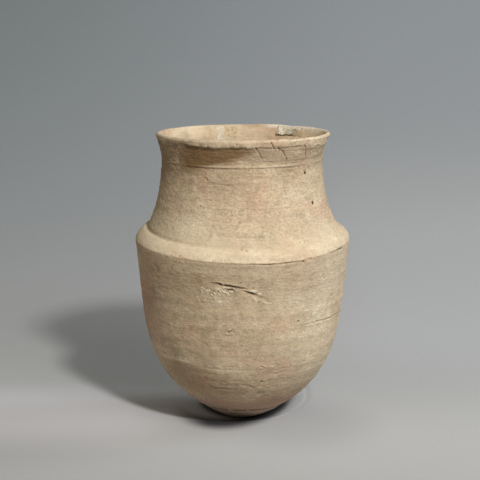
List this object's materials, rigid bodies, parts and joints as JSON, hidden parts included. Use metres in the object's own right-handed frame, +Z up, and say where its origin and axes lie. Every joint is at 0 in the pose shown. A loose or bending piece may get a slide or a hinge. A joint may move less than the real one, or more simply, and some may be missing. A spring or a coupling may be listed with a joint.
{
  "type": "vase",
  "caption": "Carinated earthenware vase with a round base, sharp shoulder edge, concave neck, thin collar ridge and rounded lip, with patches of lime inside its mouth.",
  "frame": {"origin": "on the surface that the vase stands on, under the axis of the widest ring", "axes": "+Z up along the body's axis; -Y is the front, where the mouth stands a little higher"},
  "size_m": [0.117, 0.117, 0.159],
  "materials": {
    "clay": "unglazed buff earthenware, matt, with turning lines, wear and pits",
    "lime": "rough chalky crust, matt"
  },
  "bodies": {
    "root": {"jar_wall": "clay", "lime_crust_thick": "lime", "lime_crust_thin": "lime"}
  },
  "joints": []
}
